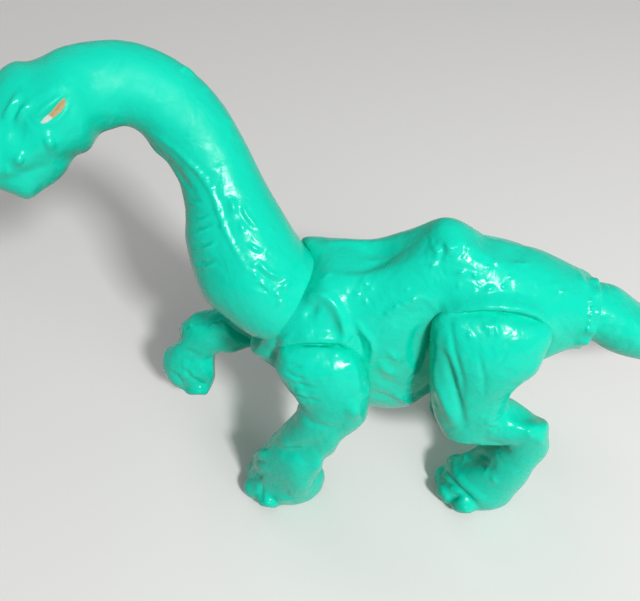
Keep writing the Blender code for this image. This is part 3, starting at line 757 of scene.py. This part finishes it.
# Hind legs
HIND_STROKES = (
    # Groove under the body's arc, and the thigh's long folds
    (-1.2, 8, ((440, 325), (456, 313), (484, 308), (512, 310), (536, 320), (546, 330))),
    (1.0, 5, ((431, 358), (438, 385), (447, 408), (456, 426))),
    (-1.0, 4, ((443, 352), (452, 380), (460, 408), (464, 424))),
    (-0.5, 3, ((450, 325), (454, 350), (462, 378), (464, 396))),
    (-0.35, 3, ((478, 352), (484, 378), (484, 396))),
    # Bumps on the thigh
    (0.4, 2.4, ((485, 322), (486, 331))),
    (0.45, 2.4, ((490, 322), (490, 337))),
    (0.5, 2.6, ((494, 320), (498, 337))),
    (0.35, 2.4, ((468, 331), (471, 339))),
    # Knee, and the hollow below it
    (0.6, 5, ((484, 420), (498, 424), (503, 426))),
    (0.5, 4, ((486, 430), (496, 430))),
    (-0.5, 4, ((480, 440), (500, 446), (510, 456))),
    # Hock
    (0.4, 3, ((526, 430), (533, 437))),
    (0.4, 4, ((538, 438), (543, 444))),
    # Instep, and the edges and grooves of the toes
    (-2.0, 7, ((462, 457), (476, 460), (488, 466))),
    (-0.9, 3, ((446, 470), (452, 482), (470, 500), (480, 508))),
    (0.5, 4, ((452, 470), (466, 486), (486, 502))),
    (-0.8, 3, ((436, 478), (446, 484), (452, 486))),
    (-0.8, 3, ((448, 500), (458, 496), (464, 498))),
    (0.35, 2.4, ((491, 476), (497, 484))),
)
HIND_CRUMPLE = (
    (0.05, 2.2, (492, 350), (30, 40)),
    (0.16, 2.0, (495, 424), (18, 10)),
    (0.10, 2.0, (446, 480), (14, 16)),
)
HIND_NUDGES = (
    ((537, 378), 16, (8, 3)),
    ((526, 408), 14, (0, 9)),
    ((545, 404), 14, (-5, 10)),
    ((554, 432), 14, (-4, 0)),
    ((541, 474), 16, (-5, -3)),
    ((520, 494), 14, (-3, -3)),
    ((462, 516), 9, (2, -6)),
    ((438, 500), 8, (3, -2)),
    ((446, 457), 7, (-4, -1)),
)
HIND_MELTS = ((60, 16, (542, 422)), (120, 13, (525, 407)))


def limb(name, cad_node, strokes, nudges, crumple, melts=(), mirror=as_is, fills=()):
    """A leg, bedded on the flank and melted softer at its paw."""
    pair, side = cad_node.split("_")[:2]
    out = np.array((0, -1.0 if side == "left" else 1.0, 0))
    leg = refined(name, (cad_node,), LEG_ROUNDS)
    nudged(leg, nudges, mirror)
    bedded(leg, np.array((0, MIDDLE, 0)) + out * LEG_SEATS[pair], out)
    sculpt(leg, fills, mirror)
    eased(leg, PAW_ROUNDS, near_floor)
    melted(leg, melts, mirror)
    sculpt(leg, strokes, mirror, crumple)
    finished(leg, (cad_node,), pair + "_" + side)


for side in ("left", "right"):
    limb(
        "thigh_and_paw_" + side, "hind_%s_leg" % side,
        HIND_STROKES, HIND_NUDGES, HIND_CRUMPLE, HIND_MELTS, over_middle,
    )

# Front left leg
FRONT_STROKES = (
    # Shoulder, under the body's arc
    (-1.0, 7, ((282, 348), (298, 340), (316, 338), (338, 341), (352, 352))),
    (0.7, 4, ((288, 335), (305, 332), (325, 330), (345, 332))),
    (-0.7, 4, ((300, 343), (318, 342), (335, 346))),
    (0.5, 1.6, ((280, 342), (287, 337), (293, 333))),
    (0.5, 6, ((337, 354),)),
    # Ridge down the back of the arm
    (0.5, 6, ((350, 352), (356, 375), (357, 400))),
    # Cross folds of the arm's front
    (-0.35, 1.6, ((289, 366), (302, 368))),
    (-0.5, 1.8, ((286, 372), (294, 377), (307, 381))),
    (-0.5, 1.8, ((292, 383), (303, 387), (315, 388))),
    (0.3, 1.8, ((293, 392), (306, 394))),
    (-0.45, 1.8, ((297, 397), (306, 400), (319, 401))),
    # Elbow
    (1.2, 8, ((354, 411),)),
    (0.3, 2.2, ((357, 409),)),
    (-0.5, 4, ((345, 425), (335, 432), (324, 437))),
    # Folds of the forearm and the wrist
    (-0.45, 3, ((300, 412), (312, 424), (328, 428), (340, 424))),
    (-1.3, 7, ((270, 446), (286, 453), (302, 453), (320, 444))),
    (0.4, 4, ((276, 443), (290, 446))),
    # Domed paw
    (2.1, 18, ((300, 480),)),
    (0.25, 2.2, ((291, 490),)),
    # Grooves between the toes, and the toes
    (-0.7, 2.6, ((261, 503), (261, 494), (262, 484))),
    (-0.7, 2.4, ((246, 478), (257, 479), (264, 474))),
    (-0.6, 2.2, ((252, 460), (264, 463))),
    (0.6, 6, ((256, 490),)),
    (0.5, 4, ((253, 469),)),
    (0.5, 4, ((262, 452),)),
)
FRONT_CRUMPLE = ((0.14, 2.0, (300, 388), (16, 20)), (0.16, 2.0, (258, 466), (10, 14)))
FRONT_NUDGES = (
    ((347, 444), 14, (-6, -3)),
    ((331, 461), 8, (-6, 0)),
    ((266, 511), 9, (4, -6)),
    ((259, 455), 7, (-7, -1)),
    ((262, 468), 6, (-4, 0)),
    ((302, 404), 8, (-3, 0)),
)
FRONT_FILLS = (
    (1.2, 5, ((318, 464), (314, 476), (305, 486), (294, 493), (282, 496)), False),
)
FRONT_MELTS = ((60, 15, (310, 482)),)
limb(
    "foreleg_left", "front_left_leg",
    FRONT_STROKES, FRONT_NUDGES, FRONT_CRUMPLE, FRONT_MELTS, fills=FRONT_FILLS,
)

# Front right leg, the raised one
RAISED_STROKES = (
    # Wrinkles of the arm
    (0.5, 4, ((182, 332), (186, 325), (190, 320))),
    (0.5, 3, ((207, 322), (212, 317), (222, 312))),
    (0.4, 2.4, ((209, 328), (215, 323))),
    # Wrist, and the back of the paw
    (-0.5, 3.5, ((168, 350), (184, 351), (200, 355))),
    (0.6, 7, ((205, 370),)),
    # Toes
    (-0.6, 2.2, ((170, 371), (180, 380), (187, 392))),
    (-0.5, 2.2, ((182, 365), (192, 378), (207, 387))),
    (0.45, 3, ((178, 363), (188, 369), (199, 378))),
    (0.4, 2.6, ((171, 380), (178, 389))),
    # Hollow under the arm
    (-0.6, 6, ((226, 338), (206, 342))),
)
RAISED_CRUMPLE = (
    (0.24, 2.0, (213, 318), (14, 10)),
    (0.16, 2.0, (186, 370), (16, 16)),
    (0.14, 2.0, (186, 326), (6, 8)),
)
RAISED_NUDGES = (
    ((169, 336), 10, (10, 2)),
    ((198, 401), 10, (2, -6)),
    ((212, 378), 12, (4, 0)),
    ((172, 388), 8, (-2, 3)),
    ((232, 346), 12, (0, 5)),
)
limb("foreleg_right", "front_right_leg", RAISED_STROKES, RAISED_NUDGES, RAISED_CRUMPLE)

# Eyes: thin paint that lies on the socket, tan, with a painted highlight in a pale colour on its
# lower corner
EYE_OUTLINE = (
    (40, 123), (44, 118), (50, 113), (55, 107), (60, 101), (65, 97),
    (66, 101), (65, 106), (61, 112), (55, 117), (49, 121), (44, 124),
)

# Rings of the paint, from the eye's middle out: share of the outline, height over the skin in mm
EYE_RINGS = (
    (0.02, 0.16), (0.2, 0.16), (0.35, 0.15), (0.5, 0.14),
    (0.65, 0.12), (0.78, 0.1), (0.9, 0.08), (1.0, -0.02),
)
EYE_POINTS = 72

# Where u - v is less than this the eye takes the pale painted highlight
EYE_HIGHLIGHT_BORDER = -66


def eye(name, twin):
    """Paint on the head inside the eye's outline, tan with a pale painted highlight, or on the
    other side of the head as its twin.
    """
    skin = surface(neck)
    outline = np.array(EYE_OUTLINE, float)
    middle = outline.mean(axis=0)
    shape = bmesh.new()
    rings = []
    for share, height in EYE_RINGS:
        ring = middle + (outline - middle) * share
        closed = np.vstack([ring, ring[:1]])
        points = []
        for step in np.linspace(0, len(ring), EYE_POINTS, endpoint=False):
            first = int(step)
            u, v = closed[first] + (step - first) * (closed[first + 1] - closed[first])
            hit, normal = skin.ray_cast(Vector(VIEW_PLACE), sight_line(u, v))[:2]
            point = np.array(hit) + np.array(normal) * height * MM
            if twin:
                point -= 2 * ((point - NECK_SEAT[0]) @ NECK_ACROSS) * NECK_ACROSS
            points.append((shape.verts.new(point), u - v))
        rings.append(points)
    for inner, outer in zip(rings, rings[1:]):
        for i in range(EYE_POINTS):
            j = (i + 1) % EYE_POINTS
            four = (inner[i], inner[j], outer[j], outer[i])
            face = shape.faces.new([point for point, corner in four])
            corners = [corner for point, corner in four]
            # Faces in the eye's lower corner take the pale painted highlight
            face.material_index = int(sum(corners) / len(corners) < EYE_HIGHLIGHT_BORDER)
    shape.faces.new([point for point, corner in rings[0]])
    bmesh.ops.recalc_face_normals(shape, faces=shape.faces)
    piece = placed(name, from_bmesh(name, shape))
    finished(piece, (), "neck", tan)
    # The second slot holds the pale painted highlight
    piece.data.materials.append(pale)


eye("eye_left", False)
eye("eye_right", True)


# Floor, world and lamps

FLOOR_SIZE, FLOOR_ROUGHNESS = 3, 0.7
FLOOR_PALE, FLOOR_BOUNCE = (0.78, 0.77, 0.75, 1), (0.20, 0.18, 0.16, 1)
SKY, SKY_STRENGTH = (0.97, 0.98, 1, 1), 0.26

# Name, place, target, size in metres, power in watts, and whether the gloss shows it
LAMPS = (
    ("window", (0.30, -0.48, 0.54), (0, 0, 0.06), (0.09, 0.08), 5, True),
    ("room", (0.75, -0.95, 0.85), (0, 0, 0.05), (1.0, 0.8), 5.5, False),
    ("back", (-0.70, 0.95, 0.70), (0, 0, 0.05), (1.0, 0.8), 3.5, False),
)


def lay_floor():
    """A plain pale floor, which gives back little light to the figure's underside."""
    shape = bmesh.new()
    bmesh.ops.create_grid(shape, x_segments=1, y_segments=1, size=FLOOR_SIZE)
    floor = placed("floor", from_bmesh("floor", shape))
    material = bpy.data.materials.new("pale_floor")
    material.use_nodes = True
    tree = material.node_tree
    shader = tree.nodes["Principled BSDF"]
    shader.inputs["Roughness"].default_value = FLOOR_ROUGHNESS
    ray = tree.nodes.new("ShaderNodeLightPath")
    tone = tree.nodes.new("ShaderNodeMix")
    tone.data_type = "RGBA"
    tone.inputs["A"].default_value = FLOOR_PALE
    tone.inputs["B"].default_value = FLOOR_BOUNCE
    tree.links.new(ray.outputs["Is Diffuse Ray"], tone.inputs["Factor"])
    tree.links.new(tone.outputs["Result"], shader.inputs["Base Color"])
    floor.data.materials.append(material)


def lamp(name, place, target, size, power, glossy):
    """A rectangular lamp that looks at its target."""
    data = bpy.data.lights.new(name, "AREA")
    data.shape = "RECTANGLE"
    data.size, data.size_y = size
    data.energy = power
    thing = placed(name, data)
    thing.location = place
    thing.rotation_euler = (Vector(target) - Vector(place)).to_track_quat("-Z", "Y").to_euler()
    thing.visible_glossy = glossy


def make_world():
    """An even, faintly blue light from all round."""
    world = bpy.data.worlds.new("world")
    world.use_nodes = True
    sky = world.node_tree.nodes["Background"]
    sky.inputs["Color"].default_value = SKY
    sky.inputs["Strength"].default_value = SKY_STRENGTH
    bpy.context.scene.world = world


lay_floor()
for values in LAMPS:
    lamp(*values)
make_world()
bpy.context.scene.view_settings.view_transform = "Standard"
